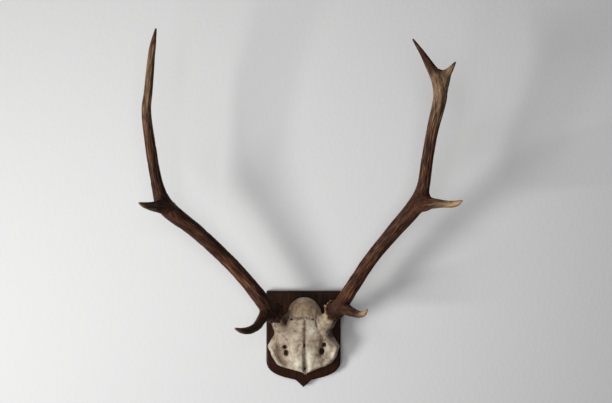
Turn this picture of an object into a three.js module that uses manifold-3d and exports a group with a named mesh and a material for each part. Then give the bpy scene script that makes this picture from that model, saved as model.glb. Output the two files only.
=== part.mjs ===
// A deer antler trophy: the frontlet of the skull with both antlers, screwed to a dark wooden shield.
// Millimetres, +Z up. The front faces -Y, and the origin lies on the shield's flat back, against the wall.
// Left and right are the viewer's.
import * as THREE from "three";
import { mergeVertices } from "three/addons/utils/BufferGeometryUtils.js";
import Module from "manifold-3d";

const wasm = await Module();
wasm.setup();

// Driving dimensions
const GAP = 0.3; // clear space between pieces that touch
const BEYOND = 400; // a cutting block this wide reaches past any piece

const SHIELD = {
  halfWidth: 83,
  top: 106,
  sideEnd: -50, // where the straight sides turn into the rounded bottom
  bottom: -86, // how low the round of each bottom corner pulls
  shoulder: { x: 17.5, z: -93 }, // where the rounded bottom turns into the point
  point: { x: 8, z: -101.5 }, // the hollow on each side of the point
  tip: -109,
  thickness: 20,
  bevel: 3.5,
};

// A slot routed in the shield's back that drops over the head of a wall screw
const KEYHOLE = { z: 66, rise: 14, entryRadius: 5, neckWidth: 5.4, lip: 4, depth: 10 };

// Countersunk wood screws that hold the skull from behind
const SCREW = {
  heights: [34, -22], headRadius: 4.4, rim: 0.5, headDepth: 3.2, radius: 2.1, length: 48, slot: 1.1,
};

// The skull's right half outline from crown to nose, as x and z, mirrored for the left half
const SKULL_OUTLINE = [
  [0, 95], [17, 91], [27, 83], [34, 72], [40, 60], [53, 48], [64, 36], [63, 18], [71, 1],
  [79.5, -14], [75, -25], [71, -37], [63.5, -48.5], [50, -57.5], [28, -64.5], [8, -73], [0, -78],
];
// Height of the bone above the shield: a ridge across the brow, falling to the nose and to the crown
const BONE = { centre: 6, ridge: 54, height: 64, browSlope: 0.29, crown: 42, crownDrop: 32, sideDrop: 12 };
const BONE_EDGE_POWER = 14; // how squarely the bone turns down to the shield at its rim
const MIDDLE_SEAM = { halfWidth: 3, depth: 2.5 };
const BROW_GROOVE = { x: 38, z: -22, halfWidth: 7, halfLength: 24, depth: 6 };
const ORBIT_LOBE = { x: 57, z: -18, spread: 17, rise: 5 };
const ORBIT = { x: 94, y: -18, z: -20, radii: [37, 14, 26] };
// Two holes in each brow groove, as x, z and radius
const FORAMINA = [[39, -26, 5], [43, -11.5, 4]];
const FORAMEN = { depth: 12, floorShare: 0.7 };
const PEDICLE = { root: 25, middle: 18.5, neck: 15.5, length: 50 };

// Each antler's beam and tines as stations of x, y, z and radius, from root to tip
const LEFT_BEAM = [
  [-64.5, -85.5, 62.5, 17.5], [-73.5, -97, 71, 16.8], [-87, -106, 91, 16], [-146, -123, 164, 14.5],
  [-225, -151, 242, 15.4], [-288, -174, 297, 17.6], [-301, -186, 334, 12.9], [-313, -207, 412, 11.4],
  [-320, -224, 493, 9.9], [-315, -232, 528, 9.1], [-304.5, -250, 611, 7], [-296, -258, 652, 2.2],
];
const LEFT_BROW = [
  [-75, -98, 71, 15], [-87, -120, 58, 11.5], [-98, -146, 43, 9.4], [-113, -172, 37, 8],
  [-128, -194, 39, 5.8], [-139, -212, 45, 2.5],
];
const LEFT_TRAY = [
  [-282, -176, 292, 15], [-301, -206, 295, 11.6], [-311, -226, 296, 9], [-321, -248, 299, 5.9],
  [-328, -264, 302.5, 2.4],
];
const RIGHT_BEAM = [
  [67, -85.5, 69.5, 17.5], [75.5, -97, 77.5, 16.8], [88, -107, 96, 16], [139, -127, 176.5, 14.4],
  [189, -151, 241, 15.5], [234.5, -176, 299, 17.7], [248, -186, 334, 13.8], [256, -203, 396, 12.1],
  [265, -216, 452, 11.8], [278.5, -231, 522, 14], [273.5, -237, 548, 13.2], [246.5, -247, 595.5, 6.9],
  [221, -254, 632, 2],
];
const RIGHT_BROW = [
  [77, -99, 78, 15], [91, -129, 76, 11.6], [104, -158, 72, 9.4], [117, -184, 71.5, 7.3],
  [125, -202, 76, 5.5], [131, -214, 84, 2.3],
];
const RIGHT_TRAY = [
  [237, -177, 298, 15], [265, -208, 302, 11.2], [283, -226, 301, 8.4], [301, -243, 300.5, 7.1],
  [311, -254, 303, 5.4], [318, -260, 307, 2.3],
];
const RIGHT_FORK = [
  [279, -233, 534, 13.4], [290, -243, 562, 8.6], [298, -252, 574, 5.4], [305, -262, 585, 1.8],
];
// The stations of each beam where it divides
const LEFT_FORKS = [5];
const RIGHT_FORKS = [5, 10];

// The knobbly ring at each antler's foot, and the long shallow ridges that wind slowly up it
const CORONET = { rise: 5.5, length: 10, pearls: 9, pearlRise: 1.6 };
const RIDGE = { count: 6, share: 0.04, turn: 900 };

// How finely the shapes are cut into facets
const SIDES = { beam: 18, tine: 12, skull: 48, hole: 12, ball: 20, bar: 20, screw: 16 };
const SKULL_RINGS = [1, 0.985, 0.95, 0.9, 0.82, 0.72, 0.6, 0.46, 0.3, 0.14];
const ROW_SPACING = 12.5;
const CORONET_ROWS = [0, 3, 6];
const STEPS_PER_STATION = 24;
const OUTLINE_STEPS = 10;

// Finishes
const FINISH = {
  wood: new THREE.MeshStandardMaterial({ color: 0x2b1914, roughness: 0.55 }),
  bone: new THREE.MeshStandardMaterial({ color: 0xb3a894, roughness: 0.75 }),
  antler: new THREE.MeshStandardMaterial({ color: 0x3f281c, roughness: 0.6 }),
  steel: new THREE.MeshStandardMaterial({ color: 0x8d8a84, roughness: 0.4, metalness: 1 }),
};

// Joining and cutting
function solidOf(geometry) {
  const bare = geometry.clone();
  bare.deleteAttribute("normal");
  bare.deleteAttribute("uv");
  const merged = mergeVertices(bare, 1e-3);
  return new wasm.Manifold(
    new wasm.Mesh({
      numProp: 3,
      vertProperties: new Float32Array(merged.attributes.position.array),
      triVerts: new Uint32Array(merged.index.array),
    }),
  );
}

function geometryOf(solid) {
  const mesh = solid.getMesh();
  const geometry = new THREE.BufferGeometry();
  geometry.setAttribute("position", new THREE.BufferAttribute(mesh.vertProperties, 3));
  geometry.setIndex(new THREE.BufferAttribute(mesh.triVerts, 1));
  geometry.computeVertexNormals();
  return geometry;
}

function piece(name, solid, material) {
  const mesh = new THREE.Mesh(geometryOf(solid), material);
  mesh.name = name;
  return mesh;
}

function cutAll(solid, cutters) {
  return cutters.reduce((rest, cutter) => rest.subtract(cutter), solid);
}

function box(width, depth, height, x, y, z) {
  return solidOf(new THREE.BoxGeometry(width, depth, height).translate(x, y, z));
}

// Everything on the wall's side of a plane
function allBehind(y) {
  return box(BEYOND, BEYOND, BEYOND, 0, y + BEYOND / 2, 0);
}

// A round bar along Y, from the back face at y = 0 towards the front
function bar(radius, depth, x, z) {
  return solidOf(new THREE.CylinderGeometry(radius, radius, depth, SIDES.bar).translate(x, -depth / 2, z));
}

function turned(profile, sides) {
  const points = profile.map(([radius, height]) => new THREE.Vector2(radius, height));
  return new THREE.LatheGeometry(points, sides);
}

// The wooden shield
function shieldOutline() {
  const { halfWidth, top, sideEnd, bottom, shoulder, point, tip } = SHIELD;
  const shape = new THREE.Shape();
  shape.moveTo(0, tip);
  shape.quadraticCurveTo(point.x, point.z, shoulder.x, shoulder.z);
  shape.bezierCurveTo(0.6 * halfWidth, bottom, halfWidth, bottom + point.x, halfWidth, sideEnd);
  shape.lineTo(halfWidth, top);
  shape.lineTo(-halfWidth, top);
  shape.lineTo(-halfWidth, sideEnd);
  shape.bezierCurveTo(-halfWidth, bottom + point.x, -0.6 * halfWidth, bottom, -shoulder.x, shoulder.z);
  shape.quadraticCurveTo(-point.x, point.z, 0, tip);
  return shape;
}

function keyholeCutter() {
  const { z, rise, entryRadius, neckWidth, lip, depth } = KEYHOLE;
  const neck = box(neckWidth, depth, rise, 0, -depth / 2, z + rise / 2)
    .add(bar(neckWidth / 2, depth, 0, z + rise));
  const groove = box(2 * entryRadius, depth - lip, rise, 0, -(depth + lip) / 2, z + rise / 2)
    .add(bar(entryRadius, depth, 0, z + rise).trimByPlane([0, -1, 0], lip));
  return bar(entryRadius, depth, 0, z).add(neck).add(groove);
}

function screwSolid(z, clearance) {
  const { headRadius, rim, headDepth, radius, length } = SCREW;
  const back = clearance > 0 ? 1 : -GAP;
  const profile = [
    [0, -length - clearance],
    [radius + clearance, -length + 2 * radius],
    [radius + clearance, -headDepth],
    [headRadius + clearance, -rim],
    [headRadius + clearance, back],
    [0, back],
  ];
  return solidOf(turned(profile, SIDES.screw).translate(0, 0, z));
}

function screw(z) {
  const { headRadius, slot } = SCREW;
  return screwSolid(z, 0).subtract(box(3 * headRadius, 2 * slot, slot, 0, -GAP, z));
}

function screwHoles() {
  return SCREW.heights.map((z) => screwSolid(z, GAP));
}

function shield() {
  const { thickness, bevel } = SHIELD;
  const board = new THREE.ExtrudeGeometry(shieldOutline(), {
    depth: thickness - bevel,
    curveSegments: OUTLINE_STEPS,
    bevelThickness: bevel,
    bevelSize: bevel,
    bevelOffset: -bevel,
    bevelSegments: 2,
  }).rotateX(Math.PI / 2);
  return cutAll(solidOf(board), [allBehind(0), ...screwHoles(), keyholeCutter()]);
}

// Antlers
// A beam or tine along its stations, read by the distance along it from its root.
class Branch {
  constructor(stations) {
    this.curve = new THREE.CatmullRomCurve3(stations.map(([x, y, z]) => new THREE.Vector3(x, y, z)));
    this.curve.arcLengthDivisions = STEPS_PER_STATION * (stations.length - 1);
    this.radii = new THREE.SplineCurve(stations.map(([, , , radius], i) => new THREE.Vector2(i, radius)));
    this.length = this.curve.getLength();
  }

  distanceTo(station) {
    return this.curve.getLengths()[STEPS_PER_STATION * station];
  }

  at(distance) {
    const share = this.curve.getUtoTmapping(0, Math.min(distance, this.length));
    const tangent = this.curve.getTangent(share);
    const front = new THREE.Vector3(0, -1, 0);
    const normal = front.addScaledVector(tangent, -front.dot(tangent)).normalize();
    return {
      point: this.curve.getPoint(share),
      normal,
      binormal: new THREE.Vector3().crossVectors(tangent, normal),
      radius: this.radii.getPoint(share).y,
    };
  }
}

function ridged(radius, angle, distance) {
  return radius * (1 + RIDGE.share * Math.cos(RIDGE.count * angle + (2 * Math.PI * distance) / RIDGE.turn));
}

function coronetRise(distance, angle) {
  const height = Math.max(0, 1 - (distance / CORONET.length) ** 2);
  return height * (CORONET.rise + CORONET.pearlRise * Math.cos(CORONET.pearls * angle));
}

function rowDistances(from, to, hasCoronet) {
  const first = hasCoronet ? CORONET.length : from;
  const count = Math.max(2, Math.round((to - first) / ROW_SPACING));
  const even = Array.from({ length: count + 1 }, (_, i) => first + ((to - first) * i) / count);
  return hasCoronet ? [...CORONET_ROWS, ...even] : even;
}

// A straight turned bar bent along a stretch of the branch.
function bentAlong(branch, from, to, { sides, swell = 0, hasCoronet = false }) {
  const rows = rowDistances(from, to, hasCoronet);
  const geometry = turned([[0, from], ...rows.map((distance) => [1, distance]), [0, to]], sides);
  const place = geometry.attributes.position;
  for (let i = 0; i < place.count; i++) {
    const distance = place.getY(i);
    const angle = Math.atan2(place.getX(i), place.getZ(i));
    const { point, normal, binormal, radius } = branch.at(distance);
    const rise = swell + (hasCoronet ? coronetRise(distance, angle) : 0);
    const reach = Math.hypot(place.getX(i), place.getZ(i)) * (ridged(radius, angle, distance) + rise);
    point.addScaledVector(normal, reach * Math.cos(angle));
    point.addScaledVector(binormal, reach * Math.sin(angle));
    place.setXYZ(i, point.x, point.y, point.z);
  }
  return solidOf(geometry);
}

// A tine that pokes through its beam leaves scraps behind it: keep the largest body.
function largestBody(solid) {
  return solid.decompose().reduce((a, b) => (a.volume() > b.volume() ? a : b));
}

// The beam is divided at each fork, and the tines are fitted against it.
function antler(side, beamStations, forks, tines) {
  const beam = new Branch(beamStations);
  const names = ["lower_beam", "upper_beam", "top_tine_inner"];
  const starts = [0, ...forks.map((fork) => beam.distanceTo(fork))];
  const ends = [...starts.slice(1), beam.length];
  const stretch = (i, gap, swell) =>
    bentAlong(beam, starts[i] + gap, ends[i], { sides: SIDES.beam, swell, hasCoronet: i === 0 });
  const whole = starts.map((_, i) => stretch(i, 0, GAP)).reduce((a, b) => a.add(b));
  const group = new THREE.Group();
  starts.forEach((_, i) => {
    group.add(piece(`${side}_${names[i]}`, stretch(i, i === 0 ? 0 : GAP, 0), FINISH.antler));
  });
  for (const [name, stations] of Object.entries(tines)) {
    const tine = new Branch(stations);
    const solid = bentAlong(tine, 0, tine.length, { sides: SIDES.tine }).subtract(whole);
    group.add(piece(`${side}_${name}`, largestBody(solid), FINISH.antler));
  }
  return { group, beam, whole };
}

// The skull
function bell(value, spread) {
  return Math.exp(-((value / spread) ** 2));
}

function boneHeight(x, z) {
  const across = Math.abs(x);
  const behind = z - BONE.ridge;
  const crest = behind < 0 ? BONE.browSlope * behind : -BONE.crownDrop * (behind / BONE.crown) ** 2;
  const seam = behind < 0 ? MIDDLE_SEAM.depth * bell(across, MIDDLE_SEAM.halfWidth) : 0;
  const groove = BROW_GROOVE.depth * bell(across - BROW_GROOVE.x, BROW_GROOVE.halfWidth)
    * bell(z - BROW_GROOVE.z, BROW_GROOVE.halfLength);
  const fromLobe = Math.hypot(across - ORBIT_LOBE.x, z - ORBIT_LOBE.z);
  const lobe = ORBIT_LOBE.rise * bell(fromLobe, ORBIT_LOBE.spread);
  return BONE.height + crest - BONE.sideDrop * (across / ORBIT_LOBE.x) ** 2 - seam - groove + lobe;
}

// A turned disc, its rim drawn out to the skull's outline and its front raised to the bone's height
function skullCap(back) {
  const right = SKULL_OUTLINE.map(([x, z]) => new THREE.Vector3(x, 0, z));
  const left = right.slice(1, -1).reverse().map(({ x, z }) => new THREE.Vector3(-x, 0, z));
  const outline = new THREE.CatmullRomCurve3([...right, ...left], true);
  const geometry = turned([[0, 0], ...SKULL_RINGS.map((share) => [share, 1]), [0, 1]], SIDES.skull);
  const place = geometry.attributes.position;
  for (let i = 0; i < place.count; i++) {
    const share = Math.min(1, Math.hypot(place.getX(i), place.getZ(i)));
    const turn = Math.atan2(place.getX(i), place.getZ(i)) / (2 * Math.PI);
    const rim = outline.getPointAt((1 - turn) % 1);
    const x = rim.x * share;
    const z = THREE.MathUtils.lerp(BONE.centre, rim.z, share);
    const rounding = Math.sqrt(1 - share ** BONE_EDGE_POWER);
    place.setXYZ(i, x, back - place.getY(i) * rounding * boneHeight(x, z), z);
  }
  return solidOf(geometry);
}

// The stump of bone that carries an antler, flared into the skull
function pedicle(beam) {
  const { root, middle, neck, length } = PEDICLE;
  const foot = beam.curve.getPoint(0);
  const axis = beam.curve.getTangent(0);
  const profile = [
    [0, -length], [root, -length], [middle, -length / 2], [neck, -length / 4], [neck, -GAP], [0, -GAP],
  ];
  const upright = new THREE.Vector3(0, 1, 0);
  const geometry = turned(profile, SIDES.beam);
  geometry.applyQuaternion(new THREE.Quaternion().setFromUnitVectors(upright, axis));
  return solidOf(geometry.translate(foot.x, foot.y, foot.z));
}

function orbit(side) {
  const { x, y, z, radii } = ORBIT;
  const ball = new THREE.SphereGeometry(1, SIDES.ball, SIDES.hole).scale(...radii);
  return solidOf(ball.translate(side * x, y, z));
}

function foramen(side, [x, z, radius], back) {
  const { depth, floorShare } = FORAMEN;
  const pit = new THREE.CylinderGeometry(radius * floorShare, radius, 2 * depth, SIDES.hole);
  return solidOf(pit.translate(side * x, back - boneHeight(x, z), z));
}

function skull(antlers) {
  const back = -SHIELD.thickness - GAP;
  const grown = antlers.reduce((solid, { beam }) => solid.add(pedicle(beam)), skullCap(back));
  const holes = (side) => FORAMINA.map((hole) => foramen(side, hole, back));
  const hollows = [-1, 1].flatMap((side) => [orbit(side), ...holes(side)]);
  return cutAll(grown, [allBehind(back), ...antlers.map(({ whole }) => whole), ...hollows, ...screwHoles()]);
}

const antlers = [
  antler("left", LEFT_BEAM, LEFT_FORKS, { brow_tine: LEFT_BROW, tray_tine: LEFT_TRAY }),
  antler("right", RIGHT_BEAM, RIGHT_FORKS, {
    brow_tine: RIGHT_BROW,
    tray_tine: RIGHT_TRAY,
    top_tine_outer: RIGHT_FORK,
  }),
];
const trophy = new THREE.Group();
trophy.add(piece("shield", shield(), FINISH.wood));
trophy.add(piece("skull", skull(antlers), FINISH.bone));
SCREW.heights.forEach((z, i) => trophy.add(piece(`skull_screw_${i + 1}`, screw(z), FINISH.steel)));
trophy.add(...antlers.map(({ group }) => group));

export default trophy;
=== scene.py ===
# A deer antler trophy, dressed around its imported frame: two antlers, the skull front and a wooden shield.
# Lengths are millimetres until a mesh is written. +X is the viewer's right, -Y the front and +Z up.
import math

import bmesh
import bpy
import numpy as np
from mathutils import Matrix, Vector, noise


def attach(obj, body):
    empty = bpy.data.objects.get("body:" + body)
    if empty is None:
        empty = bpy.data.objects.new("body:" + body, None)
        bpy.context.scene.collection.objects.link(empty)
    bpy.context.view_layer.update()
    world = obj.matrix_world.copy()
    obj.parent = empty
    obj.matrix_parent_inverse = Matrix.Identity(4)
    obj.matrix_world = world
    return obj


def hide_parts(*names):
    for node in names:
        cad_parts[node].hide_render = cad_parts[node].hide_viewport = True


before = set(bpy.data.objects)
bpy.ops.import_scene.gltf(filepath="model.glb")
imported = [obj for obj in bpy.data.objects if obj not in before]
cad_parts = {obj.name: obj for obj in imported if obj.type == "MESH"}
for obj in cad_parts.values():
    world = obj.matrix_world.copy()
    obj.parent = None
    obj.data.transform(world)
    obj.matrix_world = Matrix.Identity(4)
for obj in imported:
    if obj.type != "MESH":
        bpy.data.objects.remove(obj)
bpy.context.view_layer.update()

bl_info = {
    "name": "Antler trophy",
    "version": (1, 0, 0),
    "blender": (4, 5, 0),
    "location": "View3D > Sidebar > Trophy",
    "description": "Builds a deer antler trophy on a wooden shield around its packed frame",
    "category": "Object",
}

MM = 0.001
BODY = "root"

# Beams and tines as stations of x, y, z and radius from root to tip, as in the part's source
LEFT_BEAM = (
    (-64.5, -85.5, 62.5, 17.5), (-73.5, -97, 71, 16.8), (-87, -106, 91, 16), (-146, -123, 164, 14.5),
    (-225, -151, 242, 15.4), (-288, -174, 297, 17.6), (-301, -186, 334, 12.9), (-313, -207, 412, 11.4),
    (-320, -224, 493, 9.9), (-315, -232, 528, 9.1), (-304.5, -250, 611, 7), (-296, -258, 652, 2.2),
)
LEFT_BROW = (
    (-75, -98, 71, 15), (-87, -120, 58, 11.5), (-98, -146, 43, 9.4), (-113, -172, 37, 8),
    (-128, -194, 39, 5.8), (-139, -212, 45, 2.5),
)
LEFT_TRAY = (
    (-282, -176, 292, 15), (-301, -206, 295, 11.6), (-311, -226, 296, 9), (-321, -248, 299, 5.9),
    (-328, -264, 302.5, 2.4),
)
RIGHT_BEAM = (
    (67, -85.5, 69.5, 17.5), (75.5, -97, 77.5, 16.8), (88, -107, 96, 16), (139, -127, 176.5, 14.4),
    (189, -151, 241, 15.5), (234.5, -176, 299, 17.7), (248, -186, 334, 13.8), (256, -203, 396, 12.1),
    (265, -216, 452, 11.8), (278.5, -231, 522, 14), (273.5, -237, 548, 13.2), (246.5, -247, 595.5, 6.9),
    (221, -254, 632, 2),
)
RIGHT_BROW = (
    (77, -99, 78, 15), (91, -129, 76, 11.6), (104, -158, 72, 9.4), (117, -184, 71.5, 7.3),
    (125, -202, 76, 5.5), (131, -214, 84, 2.3),
)
RIGHT_TRAY = (
    (237, -177, 298, 15), (265, -208, 302, 11.2), (283, -226, 301, 8.4), (301, -243, 300.5, 7.1),
    (311, -254, 303, 5.4), (318, -260, 307, 2.3),
)
RIGHT_TOP = (
    (279, -233, 534, 13.4), (290, -243, 562, 8.6), (298, -252, 574, 5.4), (305, -262, 585, 1.8),
)

# How each branch has aged. The tip's paleness is how pale its tip is worn, or dark below nothing, and how
# long that is.
# Stretches run from one share of the length to another and are tan, or dark below nothing. Web is how
# widely a tine's root fills its fork. Burr is the way that the ring at the antler's foot faces. The rim's
# share is how strongly its edge towards the window is painted pale, a painted highlight, and the last share
# how strongly the side towards the window is painted lighter and the side away from it darker, as painted
# light and shade.
ANTLERS = {
    "left_antler": {
        "nodes": ("left_lower_beam", "left_upper_beam", "left_brow_tine", "left_tray_tine"),
        "beam": {
            "stations": LEFT_BEAM, "worn": (-0.8, 20), "stretches": ((0.74, 0.93, 0.4), (0.28, 0.62, -0.55)),
        },
        "tines": (
            {"stations": LEFT_BROW, "worn": (0.35, 22), "stretches": ((0.8, 1.0, 0.2),), "web": 13.0},
            {"stations": LEFT_TRAY, "worn": (0.2, 30), "stretches": ((0.5, 1.0, 0.3),), "web": 15.0},
        ),
        "burr": (-0.27, -0.9, 0.34),
        "painted_rim_highlight": 0.0,
        "painted_light_strength": 1.0,
        "seed": 3,
    },
    "right_antler": {
        "nodes": (
            "right_lower_beam", "right_upper_beam", "right_top_tine_inner", "right_brow_tine",
            "right_tray_tine", "right_top_tine_outer",
        ),
        "beam": {"stations": RIGHT_BEAM, "worn": (-0.8, 20), "stretches": ((0.74, 0.86, 0.8),)},
        "tines": (
            {"stations": RIGHT_BROW, "worn": (0.46, 36), "stretches": ((0.7, 1.0, 0.3),), "web": 13.0},
            {"stations": RIGHT_TRAY, "worn": (0.7, 56), "stretches": ((0.4, 1.0, 0.4),), "web": 25.0},
            {"stations": RIGHT_TOP, "worn": (-0.7, 14), "stretches": ((0.0, 0.9, 0.72),), "web": 22.0},
        ),
        "burr": (0.25, -0.92, 0.3),
        "painted_rim_highlight": 0.6,
        "painted_light_strength": 0.88,
        "seed": 8,
    },
}
PATH_STEP = 2.0
SPLINE_STEPS = 24
SWEEP_SIDES = 40
# Places that are measured against a branch at one time, to spare memory
ROWS_AT_ONCE = 20000
BURR = {"radius": 17.0, "thickness": 5.2, "rise": 3.0, "pearl_ring": 20.2}
# Sizes of the burr's pearls and of the small ones, and how far they stray, as shares of the pearl radius
RING_PEARLS = (0.75, 1.35)
SMALL_PEARLS = (0.22, 0.55)
PEARL_STRAY = 0.8
# What stands further off the smooth body than this belongs to a pearl, partly and wholly
PEARL_GAP = (0.5, 1.2)
# Where the small pearls thin out along a beam and a tine, and how many a tine has against a beam
BEAM_PEARLS = (20, 330)
TINE_PEARLS = (5, 60)
TINE_SHARE = 0.4
# The way to the window: the side of the antlers that faces it is painted lighter and the side away from it
# darker, as painted light and shade
WINDOW_WAY = (-0.72, -0.66, -0.2)
# How far a face is turned that way where the painted light and shade begins and where it is full
PAINTED_LIGHT_TURN = (-0.6, 0.86)
# Sizes of the relief across and along a branch
RIB_WAVES = (8.5, 8.5, 120)
GROOVE_WAVES = (5.2, 5.2, 75)
KNOB_WAVES = (5.5, 5.5, 9.0)
# Knobs low on a branch as height and where they fade out along it
KNOB_HEIGHTS = ((0.5, 60, 300), (1.3, 4, 24))
# How much wear smooths the relief, and how widely the marks of two branches blend at a fork
WEAR_SMOOTHS = 0.7
FORK_BLEND = 4.0
# How far apart the gap is read to find its slope
SLOPE_STEP = 0.05
# Colours of antler from the dark streaks to the pale ones: as grown, dried out, and worn down to ivory; the
# ivory also paints the highlight on the burr's edge towards the window
ANTLER_BROWN = ((0.36, "#180c07"), (0.45, "#321c12"), (0.53, "#4f3120"), (0.6, "#704a30"), (0.68, "#956c47"))
ANTLER_DRY = ((0.38, "#4c3826"), (0.5, "#836a50"), (0.62, "#a88e6f"))
ANTLER_IVORY = ((0.36, "#7a5636"), (0.48, "#b08c66"), (0.62, "#d3b48e"))


def linear(code):
    """The linear colour of an sRGB hex value."""
    shares = [int(code[i:i + 2], 16) / 255 for i in (1, 3, 5)]
    return tuple(c / 12.92 if c <= 0.04045 else ((c + 0.055) / 1.055) ** 2.4 for c in shares)


def node(tree, kind, inputs=None, **settings):
    """Adds a node, gives it its settings, and sets its inputs or links them to other nodes' sockets."""
    made = tree.nodes.new(kind)
    for name, value in settings.items():
        if name == "stops":
            ramp = made.color_ramp
            while len(ramp.elements) < len(value):
                ramp.elements.new(1.0)
            for element, (place, code) in zip(ramp.elements, value):
                element.position = place
                element.color = (*linear(code), 1.0)
        else:
            setattr(made, name, value)
    for key, value in (inputs or {}).items():
        if isinstance(value, bpy.types.NodeSocket):
            tree.links.new(value, made.inputs[key])
        else:
            made.inputs[key].default_value = value
    return made


def new_material(name):
    """A new material, its node tree, and the socket that gives each point's place in the object."""
    material = bpy.data.materials.new(name)
    material.use_nodes = True
    tree = material.node_tree
    tree.nodes.clear()
    return material, tree, node(tree, "ShaderNodeTexCoord").outputs["Object"]


def new_object(name, data):
    thing = bpy.data.objects.new(name, data)
    bpy.context.scene.collection.objects.link(thing)
    return thing


def plain_mesh(thing):
    """Turns what an object's modifiers make into its own mesh, and removes them."""
    graph = bpy.context.evaluated_depsgraph_get()
    made = bpy.data.meshes.new_from_object(thing.evaluated_get(graph))
    thing.modifiers.clear()
    thing.data = made


def drop_specks(mesh):
    """Keeps a mesh's largest shell, without the specks that fusing can leave loose."""
    shape = bmesh.new()
    shape.from_mesh(mesh)
    unseen = set(shape.verts)
    shells = []
    while unseen:
        shell = [unseen.pop()]
        for vert in shell:
            near = unseen.intersection(edge.other_vert(vert) for edge in vert.link_edges)
            unseen -= near
            shell.extend(near)
        shells.append(shell)
    shells.sort(key=len)
    specks = [vert for shell in shells[:-1] for vert in shell]
    bmesh.ops.delete(shape, geom=specks, context="VERTS")
    shape.to_mesh(mesh)
    shape.free()


def fuse(thing, voxel):
    """Joins all the closed shells of an object into one skin of small even quads."""
    remesh = thing.modifiers.new("Fuse", "REMESH")
    remesh.mode = "VOXEL"
    remesh.voxel_size = voxel * MM
    plain_mesh(thing)
    drop_specks(thing.data)


def finish_piece(thing, material, nodes):
    """Gives a finished piece its material and its place in the frame."""
    thing.data.materials.clear()
    thing.data.materials.append(material)
    thing.data.shade_smooth()
    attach(thing, BODY)
    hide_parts(*nodes)


def unit(rows):
    return rows / np.maximum(np.linalg.norm(rows, axis=-1, keepdims=True), 1e-9)


def smooth_min(a, b, reach):
    share = np.clip(0.5 + 0.5 * (b - a) / reach, 0, 1)
    return b + (a - b) * share - reach * share * (1 - share)


def smooth_max(a, b, reach):
    return -smooth_min(-a, -b, reach)


def fade(value, start, end):
    """Goes smoothly from 0 at start to 1 at end."""
    share = np.clip((value - start) / (end - start), 0, 1)
    return share * share * (3 - 2 * share)


def smooth_stretch(start, end, leave, arrive, share):
    """Points on the smooth stretch from start to end that leaves and arrives in the given ways."""
    bend = 3 * (end - start) - 2 * leave - arrive
    turn = 2 * (start - end) + leave + arrive
    return start + leave * share + bend * share ** 2 + turn * share ** 3


def line_gap(x, z, start, end):
    """Distance of each place to the straight line between two points."""
    (ax, az), (bx, bz) = start, end
    ex, ez = bx - ax, bz - az
    share = np.clip(((x - ax) * ex + (z - az) * ez) / (ex * ex + ez * ez), 0, 1)
    return np.hypot(x - ax - share * ex, z - az - share * ez)


def noise_at(places, octaves=1):
    """Smooth noise at rows of x, y and z, each already divided by the size of its waves."""
    return np.array([noise.fractal(place, 1.0, 2.0, octaves) for place in places.tolist()])


def bump_at(places):
    """Round bumps, one to a cell of noise: 1 at each middle and 0 between them."""
    nearest = np.array([noise.voronoi(place)[0][0] for place in places.tolist()])
    return np.clip(1 - (nearest / 0.6) ** 2, 0, 1)


class Surface:
    """A mesh's vertices as rows of x, y and z in millimetres."""

    def __init__(self, thing):
        self.mesh = thing.data
        count = len(self.mesh.vertices)
        flat = np.empty(count * 3, np.float32)
        self.mesh.vertices.foreach_get("co", flat)
        self.places = flat.reshape(-1, 3).astype(float) / MM
        self.mesh.calc_loop_triangles()
        corners = np.empty(len(self.mesh.loop_triangles) * 3, np.int32)
        self.mesh.loop_triangles.foreach_get("vertices", corners)
        self.triangles = corners.reshape(-1, 3)
        ends = np.empty(len(self.mesh.edges) * 2, np.int32)
        self.mesh.edges.foreach_get("vertices", ends)
        self.edges = ends.reshape(-1, 2)

    def gathered(self, rows, owners):
        count = len(self.places)
        return np.stack([np.bincount(owners, rows[:, k], count) for k in range(3)], 1)

    def normals(self):
        a, b, c = (self.places[self.triangles[:, k]] for k in range(3))
        facing = np.cross(b - a, c - a)
        return unit(self.gathered(np.tile(facing, (3, 1)), self.triangles.T.ravel()))

    def relax(self, rounds, share=0.5):
        """Draws each vertex towards the middle of its neighbours."""
        owners = self.edges.T.ravel()
        others = self.edges[:, ::-1].T.ravel()
        count = np.bincount(owners, minlength=len(self.places))[:, None]
        for _ in range(rounds):
            middle = self.gathered(self.places[others], owners) / count
            self.places += (middle - self.places) * share

    def settle(self, gap_at, rounds, farthest=3.0):
        """Moves the vertices along their normals onto the surface where the gap is nothing."""
        for _ in range(rounds):
            gap = np.clip(gap_at(self.places), -farthest, farthest)
            self.places -= gap[:, None] * self.normals()

    def carve(self, gap_at, rounds, farthest=3.0):
        """Moves the vertices down the slope of the gap, which also finds hollows that normals miss."""
        for _ in range(rounds):
            gap = gap_at(self.places)
            rises = [gap_at(self.places + SLOPE_STEP * way) - gap for way in np.eye(3)]
            slope = np.stack(rises, 1) / SLOPE_STEP
            steep = np.maximum((slope ** 2).sum(1), 0.3)
            self.places -= (np.clip(gap, -farthest, farthest) / steep)[:, None] * slope

    def store(self, name, values):
        kind, key = ("FLOAT", "value") if values.ndim == 1 else ("FLOAT_VECTOR", "vector")
        rows = self.mesh.attributes.new(name, kind, "POINT").data
        rows.foreach_set(key, values.astype(np.float32).ravel())

    def write(self):
        self.mesh.vertices.foreach_set("co", (self.places * MM).astype(np.float32).ravel())
        self.mesh.update()


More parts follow.
